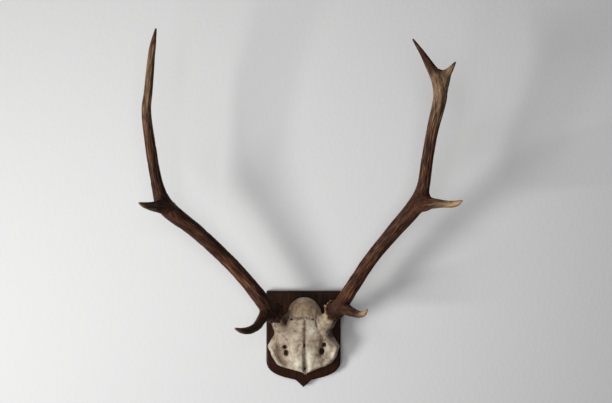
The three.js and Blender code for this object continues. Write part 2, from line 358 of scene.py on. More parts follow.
# Antlers
def spline(stations):
    """Evenly spaced rows of x, y, z and radius on a smooth curve through the stations."""
    points = np.array(stations, float)
    row = np.vstack([2 * points[:1] - points[1:2], points, 2 * points[-1:] - points[-2:-1]])
    gaps = np.sqrt(np.linalg.norm(np.diff(row[:, :3], axis=0), axis=1))
    share = np.linspace(0, 1, SPLINE_STEPS, endpoint=False)[:, None]
    path = []
    for i in range(len(points) - 1):
        before, start, end, after = row[i:i + 4]
        first, middle, last = gaps[i:i + 3]
        leave = (start - before) / first - (end - before) / (first + middle) + (end - start) / middle
        arrive = (end - start) / middle - (after - start) / (middle + last) + (after - end) / last
        path.append(smooth_stretch(start, end, leave * middle, arrive * middle, share))
    path = np.vstack([*path, points[-1:]])
    along = np.r_[0, np.cumsum(np.linalg.norm(np.diff(path[:, :3], axis=0), axis=1))]
    even = np.linspace(0, along[-1], round(along[-1] / PATH_STEP) + 1)
    return np.stack([np.interp(even, along, path[:, k]) for k in range(4)], 1)


class Branch:
    """A beam or tine, which says where any point lies along it and around it."""

    def __init__(self, stations, worn, stretches, web=0.0):
        path = spline(stations)
        self.points = path[:, :3]
        self.radii = path[:, 3]
        self.step = np.linalg.norm(self.points[1] - self.points[0])
        self.length = self.step * (len(path) - 1)
        self.tangents = unit(np.gradient(self.points, axis=0))
        self.worn = worn
        self.stretches = stretches
        self.web = web
        across = np.cross(self.tangents[0], (1.0, 0.0, 0.0))
        self.across = np.empty_like(self.points)
        for i, tangent in enumerate(self.tangents):
            across = unit(across - tangent * (across @ tangent))
            self.across[i] = across

    def read(self, places):
        """Each place's gap to the skin, distance along the branch, radius there, and place across it."""
        near = np.empty(len(places), int)
        lengths = (self.points ** 2).sum(1)
        for start in range(0, len(places), ROWS_AT_ONCE):
            rows = places[start:start + ROWS_AT_ONCE]
            near[start:start + ROWS_AT_ONCE] = np.argmin(lengths - 2 * rows @ self.points.T, axis=1)
        away = places - self.points[near]
        tangent = self.tangents[near]
        past = (away * tangent).sum(1)
        past = np.clip(past, -self.step * near, self.length - self.step * near)
        along = self.step * near + past
        out = away - tangent * past[:, None]
        radius = np.interp(along, self.step * np.arange(len(self.radii)), self.radii)
        across = self.across[near]
        sideways = np.cross(tangent, across)
        return {
            "gap": np.linalg.norm(out, axis=1) - radius,
            "along": along,
            "radius": radius,
            "sleeve": np.stack([(out * across).sum(1), (out * sideways).sum(1), along], 1),
        }

    def ageing(self, along):
        """How worn, how tan and how darkened the branch is at each distance along it."""
        strength, reach = self.worn
        tip = fade(along, self.length - reach, self.length - 0.25 * reach)
        share = along / self.length
        tan = np.zeros(len(along))
        dark = max(-strength, 0) * tip
        for start, end, depth in self.stretches:
            inside = fade(share, start - 0.08, start + 0.08) * (1 - fade(share, end - 0.02, end + 0.05))
            tan += max(depth, 0) * inside
            dark = np.maximum(dark, max(-depth, 0) * inside)
        return max(strength, 0) * tip, tan, dark


class Antler:
    """A beam with its tines and the ring round its foot, as one smooth body."""

    def __init__(self, beam, tines, burr):
        self.beam = Branch(**beam)
        self.branches = [self.beam, *(Branch(**tine) for tine in tines)]
        self.foot = self.beam.points[0]
        self.burr = unit(np.array(burr))

    def read(self, places):
        return [branch.read(places) for branch in self.branches]

    def burr_spokes(self, places):
        """The way to each place from the middle of the ring round the foot, and the distance past it."""
        away = places - self.foot
        past = away @ self.burr
        return away - past[:, None] * self.burr, past

    def burr_gap(self, places):
        """Gap to the ring round the foot, which faces the viewer more than the beam does."""
        spokes, past = self.burr_spokes(places)
        out = np.linalg.norm(spokes, axis=1)
        return np.hypot(out - BURR["radius"], past - BURR["rise"]) - BURR["thickness"]

    def painted_burr_highlight(self, places):
        """Painted highlight: 1 on the edge of the ring that is turned to the window, 0 elsewhere."""
        spokes, past = self.burr_spokes(places)
        out = np.linalg.norm(spokes, axis=1)
        edge = fade(out, BURR["radius"] + 2.5, BURR["radius"] + 5.5) * (1 - fade(past, 6, 10))
        return edge * fade(-spokes[:, 0] / np.maximum(out, 1e-9), 0.0, 0.6)

    def gap(self, places):
        """Gap to the smooth body, taken as nothing on the pearls so that they stay as they are."""
        readings = self.read(places)
        gap = readings[0]["gap"]
        for branch, reading in zip(self.branches[1:], readings[1:]):
            reach = branch.web * (0.25 + 0.75 * fade(reading["along"], 5, 28))
            gap = smooth_min(gap, reading["gap"], reach)
        gap = smooth_min(gap, self.burr_gap(places), 4.0)
        gap = smooth_max(gap, (self.foot - places) @ self.burr, 3.0)
        return gap * (1 - fade(gap, *PEARL_GAP))


def antler_path(name, antler):
    """A mesh of edges along every branch, with the radius and how pearly it is at each point."""
    verts, edges, radii, pearly = [], [], [], []
    for i, branch in enumerate(antler.branches):
        start = len(verts)
        verts.extend(map(tuple, branch.points * MM))
        edges.extend((start + k, start + k + 1) for k in range(len(branch.points) - 1))
        radii.extend(branch.radii * MM)
        along = branch.step * np.arange(len(branch.points))
        stretch, most = (BEAM_PEARLS, 1.0) if i == 0 else (TINE_PEARLS, TINE_SHARE)
        pearly.extend(most * (1 - fade(along, *stretch)))
    mesh = bpy.data.meshes.new(name)
    mesh.from_pydata(verts, edges, [])
    for key, values in (("radius", radii), ("pearly", pearly)):
        mesh.attributes.new(key, "FLOAT", "POINT").data.foreach_set("value", values)
    return mesh


def antler_tree():
    """Sweeps the branches, sets a ring of pearls round the foot and scatters small pearls up the beam."""
    tree = bpy.data.node_groups.new("Antler sweep", "GeometryNodeTree")
    face = tree.interface
    face.new_socket("Geometry", in_out="INPUT", socket_type="NodeSocketGeometry")
    for name, kind in (
        ("Sides", "Int"), ("Burr Centre", "Vector"), ("Burr Direction", "Vector"), ("Burr Radius", "Float"),
        ("Burr Pearls", "Int"), ("Pearl Radius", "Float"), ("Pearls Per Area", "Float"), ("Seed", "Int"),
        ("Material", "Material"),
    ):
        face.new_socket(name, in_out="INPUT", socket_type=f"NodeSocket{kind}")
    face.new_socket("Geometry", in_out="OUTPUT", socket_type="NodeSocketGeometry")
    given = node(tree, "NodeGroupInput").outputs
    radius, pearly = (
        node(tree, "GeometryNodeInputNamedAttribute", {"Name": name}, data_type="FLOAT")
        for name in ("radius", "pearly")
    )
    curve = node(tree, "GeometryNodeMeshToCurve", {"Mesh": given["Geometry"]})
    profile = node(tree, "GeometryNodeCurvePrimitiveCircle", {"Resolution": given["Sides"], "Radius": 1.0})
    swept = node(tree, "GeometryNodeCurveToMesh", {
        "Curve": curve.outputs[0], "Profile Curve": profile.outputs[0], "Scale": radius.outputs[0],
        "Fill Caps": True,
    })
    ball = node(tree, "GeometryNodeMeshIcoSphere", {"Radius": given["Pearl Radius"], "Subdivisions": 2})

    ring = node(tree, "GeometryNodeCurvePrimitiveCircle", {
        "Resolution": given["Burr Pearls"], "Radius": given["Burr Radius"],
    })
    beads = node(tree, "GeometryNodeCurveToPoints", {"Curve": ring.outputs[0]}, mode="EVALUATED")
    aim = node(tree, "FunctionNodeAlignRotationToVector", {"Vector": given["Burr Direction"]}, axis="Z")
    placed = node(tree, "GeometryNodeTransform", {
        "Geometry": beads.outputs["Points"], "Translation": given["Burr Centre"], "Rotation": aim.outputs[0],
    })
    least, most = (
        node(tree, "ShaderNodeVectorMath", {0: (share,) * 3, 3: given["Pearl Radius"]}, operation="SCALE")
        for share in (-PEARL_STRAY, PEARL_STRAY)
    )
    stray = node(tree, "FunctionNodeRandomValue", {
        0: least.outputs[0], 1: most.outputs[0], "Seed": given["Seed"],
    }, data_type="FLOAT_VECTOR")
    strewn = node(tree, "GeometryNodeSetPosition", {
        "Geometry": placed.outputs[0], "Offset": stray.outputs[0],
    })
    ring_size, small_size = (
        node(tree, "FunctionNodeRandomValue", {2: low, 3: high, "Seed": given["Seed"]}, data_type="FLOAT")
        for low, high in (RING_PEARLS, SMALL_PEARLS)
    )
    burr = node(tree, "GeometryNodeInstanceOnPoints", {
        "Points": strewn.outputs[0], "Instance": ball.outputs[0], "Scale": ring_size.outputs[1],
    })

    density = node(tree, "ShaderNodeMath", {
        0: pearly.outputs[0], 1: given["Pearls Per Area"],
    }, operation="MULTIPLY")
    spots = node(tree, "GeometryNodeDistributePointsOnFaces", {
        "Mesh": swept.outputs[0], "Density": density.outputs[0], "Seed": given["Seed"],
    })
    pearls = node(tree, "GeometryNodeInstanceOnPoints", {
        "Points": spots.outputs["Points"], "Instance": ball.outputs[0], "Scale": small_size.outputs[1],
    })
    joined = node(tree, "GeometryNodeJoinGeometry")
    for part in (swept.outputs[0], burr.outputs[0], pearls.outputs[0]):
        tree.links.new(part, joined.inputs[0])
    real = node(tree, "GeometryNodeRealizeInstances", {"Geometry": joined.outputs[0]})
    dressed = node(tree, "GeometryNodeSetMaterial", {
        "Geometry": real.outputs[0], "Material": given["Material"],
    })
    node(tree, "NodeGroupOutput", {"Geometry": dressed.outputs[0]})
    return tree


def add_tree(thing, tree, values):
    """Puts a node tree on an object with its inputs set by their identifiers."""
    modifier = thing.modifiers.new(tree.name, "NODES")
    keys = {item.name: item.identifier for item in tree.interface.items_tree if item.in_out == "INPUT"}
    modifier.node_group = tree
    for name, value in values.items():
        modifier[keys[name]] = value


def antler_relief(reading, settings):
    """Height of the ribs and grooves that run up a branch, and how deep in a groove each place is."""
    sleeve = reading["sleeve"]
    thick = fade(reading["radius"], 2.5, 12)
    ribs = noise_at(sleeve / RIB_WAVES + 3.1, 2)
    lines = np.abs(noise_at(sleeve / GROOVE_WAVES + 11.7))
    groove = 1 - fade(lines, 0.0, 0.22)
    height = sum(most * (1 - fade(reading["along"], start, end)) for most, start, end in KNOB_HEIGHTS)
    knobs = height * bump_at(sleeve / KNOB_WAVES)
    relief = settings.rib_height / MM * ribs - settings.groove_depth / MM * groove + knobs
    return relief * thick, groove * thick


def make_antler(name, plan, settings, tree, material):
    """One antler: swept and fused, drawn onto its smooth body, then ribbed and marked for its material."""
    antler = Antler(plan["beam"], plan["tines"], plan["burr"])
    thing = new_object(name, antler_path(name, antler))
    add_tree(thing, tree, {
        "Sides": SWEEP_SIDES,
        "Burr Centre": tuple((antler.foot + BURR["rise"] * antler.burr) * MM),
        "Burr Direction": tuple(antler.burr),
        "Burr Radius": BURR["pearl_ring"] * MM,
        "Burr Pearls": settings.burr_pearls,
        "Pearl Radius": settings.pearl_radius,
        "Pearls Per Area": settings.pearls_per_area,
        "Seed": plan["seed"],
        "Material": material,
    })
    fuse(thing, settings.skin_step / MM)
    surface = Surface(thing)
    surface.settle(antler.gap, 5)
    surface.relax(2)
    readings = antler.read(surface.places)
    weights = np.exp(-np.stack([reading["gap"] for reading in readings], 1) / FORK_BLEND)
    weights /= weights.sum(1, keepdims=True)
    total = {key: 0.0 for key in ("relief", "groove", "worn", "tan", "dark")}
    for i, (branch, reading) in enumerate(zip(antler.branches, readings)):
        relief, groove = antler_relief(reading, settings)
        worn, tan, dark = branch.ageing(reading["along"])
        smoothed = relief * (1 - WEAR_SMOOTHS * worn)
        for key, value in zip(total, (smoothed, groove, worn, tan, dark)):
            total[key] = total[key] + weights[:, i] * value
    surface.places += total["relief"][:, None] * surface.normals()
    # Painted highlight: the edge of the burr turned to the window is painted pale
    rim = plan["painted_rim_highlight"] * antler.painted_burr_highlight(surface.places)
    # Darker low on the beam from the burr's own dark stain and painted shade under the burr, and on the dark
    # stretches and tips
    foot = np.maximum(1 - fade(readings[0]["along"], 6, 40), total["dark"])
    # Painted light and shade: 1 on faces turned to the window, 0 on faces turned away, scaled for each
    # antler
    bleached = plan["painted_light_strength"] * fade(surface.normals() @ unit(np.array(WINDOW_WAY)), *PAINTED_LIGHT_TURN)
    chosen = np.argmax(weights, axis=1)
    sleeves = np.stack([reading["sleeve"] for reading in readings], 1)
    surface.store("sleeve", sleeves[np.arange(len(chosen)), chosen] * MM)
    surface.store("fork", 1 - fade(weights.max(1), 0.6, 0.98))
    surface.store("groove", total["groove"])
    # This pale mark holds the worn tips and also the painted highlight on the burr's edge towards the window
    surface.store("worn", np.maximum(total["worn"], rim))
    surface.store("tan", total["tan"])
    surface.store("foot", foot * (1 - rim))
    surface.store("bleached", bleached)
    surface.write()
    finish_piece(thing, material, plan["nodes"])


def antler_material(settings):
    """Grown and dried antler: dark low down from stain and painted shade under the burr, streaked
    lengthwise, pale at the worn tips, with a painted highlight on the burr and painted light and shade
    towards and away from the window.
    """
    material, tree, place = new_material("Antler, grown and dried")
    sleeve = node(tree, "ShaderNodeAttribute", attribute_name="sleeve").outputs["Vector"]
    marks = {
        key: node(tree, "ShaderNodeAttribute", attribute_name=key).outputs["Fac"]
        for key in ("fork", "groove", "worn", "tan", "foot", "bleached")
    }
    # streaks about 4 mm wide and 50 mm long, finer ones inside them, and broad patches of about 45 mm
    stretched = node(tree, "ShaderNodeMapping", {"Vector": sleeve, "Scale": (1, 1, 0.08)})
    at_forks = node(tree, "ShaderNodeMapping", {"Vector": place, "Scale": (1, 1, 0.35)})
    pattern = node(tree, "ShaderNodeMix", {
        "Factor": marks["fork"], 4: stretched.outputs[0], 5: at_forks.outputs[0],
    }, data_type="VECTOR").outputs[1]
    streak, hair, patch = (
        node(tree, "ShaderNodeTexNoise", {
            "Vector": where, "Scale": 1 / (size * MM), "Detail": detail, "Roughness": rough,
        }).outputs["Fac"]
        for where, size, detail, rough in (
            (pattern, 4, 4.0, 0.6), (pattern, 1.6, 2.0, 0.5), (place, 45, 3.0, 0.55),
        )
    )
    mixed = node(tree, "ShaderNodeMath", {0: streak, 1: hair}, operation="ADD").outputs[0]
    half = node(tree, "ShaderNodeMath", {0: mixed, 1: 0.5}, operation="MULTIPLY").outputs[0]
    tone = node(tree, "ShaderNodeMix", {"Factor": 0.22, 2: half, 3: patch}).outputs[0]
    brown, dry, ivory = (
        node(tree, "ShaderNodeValToRGB", {"Fac": tone}, stops=stops).outputs[0]
        for stops in (ANTLER_BROWN, ANTLER_DRY, ANTLER_IVORY)
    )
    # Dark in the grooves from dirt, and low on the beam from stain and painted shade under the burr
    in_grooves, low = (
        node(tree, "ShaderNodeMath", {0: marks[key], 1: most}, operation="MULTIPLY").outputs[0]
        for key, most in (("groove", 0.7), ("foot", 0.6))
    )
    dirt_and_shade = node(tree, "ShaderNodeMath", {0: in_grooves, 1: low}, operation="MAXIMUM").outputs[0]
    colour = brown
    for share, over in ((marks["tan"], dry), (marks["worn"], ivory), (dirt_and_shade, (*settings.groove_colour, 1.0))):
        colour = node(tree, "ShaderNodeMix", {
            "Factor": share, 6: colour, 7: over,
        }, data_type="RGBA").outputs[2]
    # Painted light and shade: the colour's value is scaled from 0.4 on faces turned from the window to 1.32
    # on faces turned to it
    painted_light_strength = node(tree, "ShaderNodeMapRange", {"Value": marks["bleached"], "To Min": 0.4, "To Max": 1.32})
    painted_lit_colour = node(tree, "ShaderNodeHueSaturation", {"Color": colour, "Value": painted_light_strength.outputs[0]})
    shine = node(tree, "ShaderNodeMapRange", {
        "Value": tone, "From Min": 0.35, "From Max": 0.65, "To Min": 0.7, "To Max": 0.5,
    })
    bump = node(tree, "ShaderNodeBump", {"Height": mixed, "Strength": 0.6, "Distance": 0.6 * MM})
    skin = node(tree, "ShaderNodeBsdfPrincipled", {
        "Base Color": painted_lit_colour.outputs[0], "Roughness": shine.outputs[0], "Normal": bump.outputs[0],
        "Specular IOR Level": 0.14,
    })
    node(tree, "ShaderNodeOutputMaterial", {"Surface": skin.outputs[0]})
    return material


# Skull
SHIELD_FRONT = 20.3
# Outline seen from the front, as x and z, clockwise from the crown of the forehead behind the dome
SKULL_OUTLINE = (
    (-30, 58), (0, 62), (34, 58), (58, 50), (67, 38), (63, 16), (71, 0), (80, -14), (76, -24.5), (73, -36),
    (65, -48), (50, -58), (30, -64), (11, -72), (4.6, -78), (-3.5, -72), (-26, -65), (-52, -58.5),
    (-63, -48.5), (-70.5, -36), (-74.5, -25), (-79, -14), (-71, 0), (-64, 13), (-66, 33), (-57, 47),
)
DOME = {"centre": (2, -40, 52), "radii": (38.5, 44, 42)}
PEDICLE = {"neck": 15.0, "root": 18.0, "length": 46.0}
PEDICLE_LEAN = (0.0, 0.0, 0.75)
ORBITS = (((94, -18, -20), (37, 14, 26)), ((-94, -18, -20), (37, 14, 26)))
# Widths over which the parts of the skull flow into each other
FLOWS = {"rim": 10.0, "dome": 7.0, "stump": 8.0, "socket": 3.5, "back": 0.8}
# Sizes of the bone's fine relief, and its heights
BONE_SIZES = {"waves": 13.0, "grit": 3.4, "pores": 4.2, "knobs": 6.0}
BONE_HEIGHTS = {"grit": 0.16, "pores": 0.35, "knobs": 1.4}
# Height of the bone over the shield along its middle, as z and height, from the nose to the crown
BONE_RIDGE = ((-80, 27), (-60, 34), (-20, 45), (20, 54), (50, 60), (62, 58))
# The seam down the middle as z, its x there, its half width and its depth
MIDDLE_SEAM = np.array((
    (-70, 4.4, 5.4, 4.8), (-40, 3.2, 5.4, 4.6), (-22, 3.0, 4.4, 4.0), (0, 2.8, 3.6, 3.2),
    (50, 3.2, 3.4, 2.4),
))
# Holes of the brow as x, z, half width, half height and depth; the inside of each is painted dark as painted
# shade
FORAMINA = (
    (-40.4, -14, 5.6, 5.0, 9), (-37, -27.6, 5.6, 7.6, 12), (45.6, -9, 5.8, 5.4, 10),
    (40.8, -24.2, 6.8, 8.2, 13), (1.8, -9.5, 1.7, 6.0, 6), (-26, 48.8, 3.6, 2.4, 4),
    (21.6, 49.7, 3.0, 2.2, 4), (2.6, -63, 2.6, 3.6, 4),
)
# Seams and shallow channels as points of x and z, half width, depth, darkness and how crooked they are
SEAMS = (
    (((-27, 48.8), (-18, 51.5), (-5, 53), (5, 53), (14, 52), (23, 49.6)), 2.6, 2.4, 0.6, 1.6),
    (((31, 67), (28.5, 56), (27, 46), (30, 32)), 1.9, 2.6, 0.55, 1.6),
    (((31, 36), (37, 18), (43.5, -1)), 6.5, 2.4, 0.12, 1.0),
    (((-61, -8), (-58, -22), (-55, -36), (-48, -48)), 0.8, 0.6, 0.4, 1.2),
    (((-53, -4), (-52, -20), (-49, -36), (-42, -46)), 0.7, 0.5, 0.3, 1.2),
    (((54, -32), (48, -42), (40, -50)), 0.8, 0.5, 0.3, 1.2),
    (((46, 6), (54, -4), (64, -12)), 0.9, 0.6, 0.35, 1.6),
    (((-31, 66), (-33, 52), (-38, 38)), 2.6, 1.8, 0.75, 0.8),
    (((-38, 4), (-42, -4), (-47, -8)), 0.9, 0.5, 0.3, 1.4),
    (((-35, 2), (-31, -8), (-30, -20), (-27, -34)), 0.9, 0.5, 0.3, 1.4),
    (((-44, -2), (-48, 6), (-46, 14)), 0.9, 0.5, 0.3, 1.4),
    (((-36, -30), (-40, -40), (-38, -50)), 0.9, 0.5, 0.3, 1.4),
    (((44, 2), (42, 10), (36, 20)), 0.9, 0.5, 0.3, 1.4),
    (((36, -30), (40, -38), (48, -42)), 0.9, 0.5, 0.3, 1.4),
)
# Stains and weathering as x, z, half width, half height and strength. The brown spots at the right temple,
# (65, 38) and (62, 20), and beside the brow holes, (36, -20) and (-44, -18), are painted shade
BROWN_SPOTS = (
    (-37, 63, 9, 9, 0.8), (-39.5, 45, 10.5, 19, 1.0), (-51, 43, 10, 12, 0.35), (65, 38, 6, 14, 0.5),
    (3, -58, 6, 8, 0.45), (16, -4, 14, 14, 0.25), (-24, 88, 16, 10, 0.15), (34, 78, 10, 14, 0.25),
    (-25, 24, 18, 26, 0.34), (-58, 12, 12, 16, 0.25), (62, 20, 11, 18, 0.9), (36, -20, 9, 14, 0.4),
    (-44, -18, 8, 14, 0.3),
)
PALE_SPOTS = (
    (-22, -40, 9, 22, 0.35), (-13, -50, 9, 18, 1.0), (13, -40, 9, 26, 1.0), (26, -50, 8, 8, 0.7),
    (62, -30, 6, 9, 0.9), (55, -16, 6, 8, 0.6), (-20, 9, 10, 9, 0.75), (-27, -14, 5, 16, 0.5),
    (-11, 34, 8, 8, 0.2), (18, 28, 12, 16, 0.75), (23, 66, 4, 6, 0.7), (52, 59, 6, 6, 0.7),
    (0, 91, 14, 5, 0.35),
)
# Brown lines as points of x and z, half width and strength. The first, down the left brow, and the second,
# down the right temple, are painted shade
BROWN_LINES = (
    (((-58, -12), (-57, -30), (-50, -45), (-42, -54)), 7.0, 0.75),
    (((69, 40), (64, 26), (60, 12)), 9.0, 1.0),
    (((40, 9), (37, -2), (33, -21)), 4.5, 0.45),
    (((53, 11), (67, -10)), 5.0, 0.5),
    (((-68, 40), (-66, 33)), 1.4, 0.6),
    (((-62, 42), (-61, 32)), 1.7, 0.8),
    (((-57, 42), (-55.5, 36)), 1.3, 0.7),
    (((-51, 46), (-49.5, 38)), 2.0, 0.6),
)
# Colours of bone from the dark mottling to the pale: mostly, on the crown, and where it is weathered, which
# also paints the highlight on the left rim
BONE_GROUND = ((0.34, "#7d6953"), (0.47, "#a5937f"), (0.62, "#c1b2a0"))
BONE_CROWN = ((0.32, "#7c6750"), (0.5, "#a08a6f"), (0.68, "#b8a388"))
BONE_CREAM = ((0.3, "#c6beaa"), (0.5, "#dfd8c4"), (0.68, "#eee8d8"))


def outline_gap(x, z):
    """Signed distance to the skull's outline seen from the front, below nothing inside it."""
    corners = closed_curve(SKULL_OUTLINE)
    gap = np.full(len(x), np.inf)
    inside = np.zeros(len(x), bool)
    for (ax, az), (bx, bz) in zip(corners, np.roll(corners, -1, axis=0)):
        gap = np.minimum(gap, line_gap(x, z, (ax, az), (bx, bz)))
        crosses = (az > z) != (bz > z)
        inside ^= crosses & (x < ax + (z - az) * (bx - ax) / ((bz - az) or 1e-9))
    return np.where(inside, -gap, gap)


def closed_curve(points, steps=6):
    """Points on a smooth closed curve through the given ones."""
    rows = np.array(points, float)
    share = np.arange(steps)[:, None] / steps
    path = []
    for i in range(len(rows)):
        before, start, end, after = (rows[(i + k) % len(rows)] for k in (-1, 0, 1, 2))
        path.append(smooth_stretch(start, end, (end - before) / 2, (after - start) / 2, share))
    return np.vstack(path)


def bell(value, spread):
    return np.exp(-(value / spread) ** 2)


def bone_height(x, z, rim):
    """Height of the forehead over the shield, where rim is the signed distance to the skull's outline."""
    side = np.abs(x - 2.0)
    middle = np.interp(z, *zip(*BONE_RIDGE))
    fall = 10 * (side / 57) ** 2 + 3 * fade(side, 60, 80)
    temple = 13 * fade(side, 42, 66) * bell(z - 24, 26)
    plates = 2.6 * bell(side - 15, 9) * (1 - fade(z, -34, -8))
    hollow = 5.5 * bell(side - 41, 8) * bell(z + 17, 24)
    brow = 5.0 * bell(np.hypot(side - 72, (z + 16) * 0.7), 15)
    brow -= 3.5 * bell(np.hypot(side - 54, (z + 26) * 0.8), 12)
    lip = 2.4 * bell(rim + 5, 4) - 1.5 * bell(rim + 13, 4.5) * fade(z, -58, -44)
    valley = 4.0 * bell(side - 30, 8) * bell(z - 58, 16)
    return middle - fall - temple + plates - hollow + brow + lip * (1 - fade(z, -14, 4)) - valley


def ellipsoid_gap(places, centre, radii):
    away = (places - centre) / radii
    size = np.linalg.norm(away, axis=1)
    slope = np.linalg.norm(away / radii, axis=1)
    return size * (size - 1) / np.maximum(slope, 1e-6)


def pedicle_gap(places, foot, way, burr):
    """Gap to the stump that carries an antler, which flares into the skull and ends behind the burr."""
    away = places - foot
    past = away @ way
    out = np.linalg.norm(away - past[:, None] * way, axis=1)
    share = np.clip(-past / PEDICLE["length"], 0, 1)
    radius = PEDICLE["neck"] + (PEDICLE["root"] - PEDICLE["neck"]) * share ** 1.6
    return np.maximum(smooth_max(out - radius, away @ burr + 0.2, 3.0), -past - PEDICLE["length"])


def antler_feet():
    """The foot of each antler, the way of its stump, steeper than the beam, and the way its burr faces."""
    antlers = [Antler(plan["beam"], plan["tines"], plan["burr"]) for plan in ANTLERS.values()]
    return [
        (antler.foot, unit(antler.beam.tangents[0] + antler.burr + PEDICLE_LEAN), antler.burr)
        for antler in antlers
    ]


class Skull:
    """The front of the skull as one smooth body, without its small marks."""

    def __init__(self):
        self.feet = antler_feet()

    def gap(self, places):
        x, y, z = places.T
        rise = -y - SHIELD_FRONT
        rim = outline_gap(x, z)
        front = (rise - bone_height(x, z, rim)) * 0.93
        body = smooth_max(front, rim, FLOWS["rim"])
        body = smooth_min(body, ellipsoid_gap(places, DOME["centre"], DOME["radii"]), FLOWS["dome"])
        for foot, way, burr in self.feet:
            body = smooth_min(body, pedicle_gap(places, foot, way, burr), FLOWS["stump"])
        for centre, radii in ORBITS:
            body = smooth_max(body, -ellipsoid_gap(places, centre, radii), FLOWS["socket"])
        return smooth_max(body, -rise, FLOWS["back"])

    def near_burr(self, places):
        """1 on the stumps close to the antlers, 0 elsewhere."""
        return np.max([fade((places - foot) @ burr, -14, -5) for foot, _, burr in self.feet], axis=0)

    def rough_mesh(self):
        """Closed shells close to the finished surface: the forehead, the dome and the two stumps."""
        shape = bmesh.new()
        rim = closed_curve(SKULL_OUTLINE, 3)
        rings = []
        for share in (1.0, 0.9, 0.75, 0.55, 0.3):
            x, z = (rim * share).T
            height = bone_height(x, z, outline_gap(x, z)) - (9 if share == 1.0 else 0)
            rings.append([shape.verts.new(v) for v in np.stack([x, -SHIELD_FRONT - height, z], 1)])
        foot = [shape.verts.new((x, -SHIELD_FRONT, z)) for x, z in rim]
        for outer, inner in zip([foot, *rings], rings):
            for i in range(len(rim)):
                k = (i + 1) % len(rim)
                shape.faces.new((outer[i], outer[k], inner[k], inner[i]))
        shape.faces.new(rings[-1])
        shape.faces.new(foot[::-1])
        dome = bmesh.ops.create_icosphere(shape, subdivisions=4, radius=1.0)["verts"]
        for vert in dome:
            vert.co = Vector(DOME["centre"]) + vert.co * Vector(DOME["radii"])
            vert.co.y = min(vert.co.y, -SHIELD_FRONT)
        for place, way, _ in self.feet:
            half = PEDICLE["length"] / 2
            turn = Vector(way).to_track_quat("Z", "Y").to_matrix().to_4x4()
            stump = bmesh.ops.create_cone(
                shape, cap_ends=True, segments=32, radius1=PEDICLE["root"], radius2=PEDICLE["neck"],
                depth=2 * half, matrix=turn,
            )["verts"]
            bmesh.ops.translate(shape, verts=stump, vec=Vector(place - way * half))
        bmesh.ops.recalc_face_normals(shape, faces=shape.faces)
        for vert in shape.verts:
            vert.co *= MM
        mesh = bpy.data.meshes.new("skull_front")
        shape.to_mesh(mesh)
        shape.free()
        return mesh


def line_mark(x, z, points, half_width, wobble=0.0):
    """1 along a crooked line through the points, falling to 0 at its half width."""
    if wobble:
        rows = np.stack([x / 3.2, z / 3.2, np.full(len(x), 5.0)], 1)
        x = x + wobble * noise_at(rows)
        z = z + wobble * noise_at(rows + 31.0)
    gap = np.full(len(x), np.inf)
    for start, end in zip(points, points[1:]):
        gap = np.minimum(gap, line_gap(x, z, start, end))
    return bell(gap, half_width)


def skull_marks(places):
    """Depth of seams, holes and channels pressed into the bone's front, and how dark each is painted, the
    holes' darkness being painted shade.
    """
    x, _, z = places.T
    crooked = noise_at(np.stack([x / 5, z / 5, np.full(len(x), 5.0)], 1), 2)
    heights, seam_x, seam_width, seam_depth = MIDDLE_SEAM.T
    off = np.abs(x + 1.2 * crooked - np.interp(z, heights, seam_x))
    width = np.interp(z, heights, seam_width)
    below_crown = 1 - fade(z, 44, 54)
    depth = np.interp(z, heights, seam_depth) * bell(off, width) * below_crown
    dark = (0.6 * bell(off, 0.9 * width) + 0.25 * bell(off, 0.9)) * below_crown
    for points, half_width, deep, darkness, wobble in SEAMS:
        mark = line_mark(x, z, points, half_width, wobble) * np.clip(0.95 + 0.5 * crooked, 0.6, 1.15)
        depth += deep * mark
        dark = np.maximum(dark, darkness * mark)
    notch = fade(-z, 46, 72) * (1 - fade(np.abs(x - 4.4), 2.0, 9.0))
    depth += 4.5 * notch
    dark = np.maximum(dark, 0.45 * notch)
    # Painted shade: the inside of each hole is painted fully dark
    for hole_x, hole_z, half_width, half_height, deep in FORAMINA:
        size = np.hypot((x - hole_x) / half_width, (z - hole_z) / half_height) + 0.3 * crooked
        pit = 1 - fade(size, 0.5, 1.1)
        depth += deep * pit
        dark = np.maximum(dark, pit)
    return depth, dark


def spots_at(x, z, spots):
    """The strongest of some soft oval spots at each place."""
    values = [strength * bell(np.hypot((x - sx) / wide, (z - sz) / tall), 1.0)
              for sx, sz, wide, tall, strength in spots]
    return np.max(values, axis=0)


def skull_stains(places):
    """Where the bone is painted brown, from stains and as painted shade, and where it is painted pale, from
    weathering and as a painted highlight on the left rim.
    """
    x, _, z = places.T
    brown = spots_at(x, z, BROWN_SPOTS)
    for points, half_width, strength in BROWN_LINES:
        brown = np.maximum(brown, strength * line_mark(x, z, points, half_width, 2.0))
    # Painted highlight: the edge of the left rim, turned to the window, is painted pale
    painted_lip_highlight = 0.4 * bell(outline_gap(x, z) + 4, 4) * (1 - fade(x, -40, -20)) * (1 - fade(z, -6, 4))
    seam_edge = 0.9 * bell(np.abs(x - 3.5) - 8.5, 3.5) * (1 - fade(z, -40, -18))
    return brown, np.max([spots_at(x, z, PALE_SPOTS), painted_lip_highlight, seam_edge], axis=0)


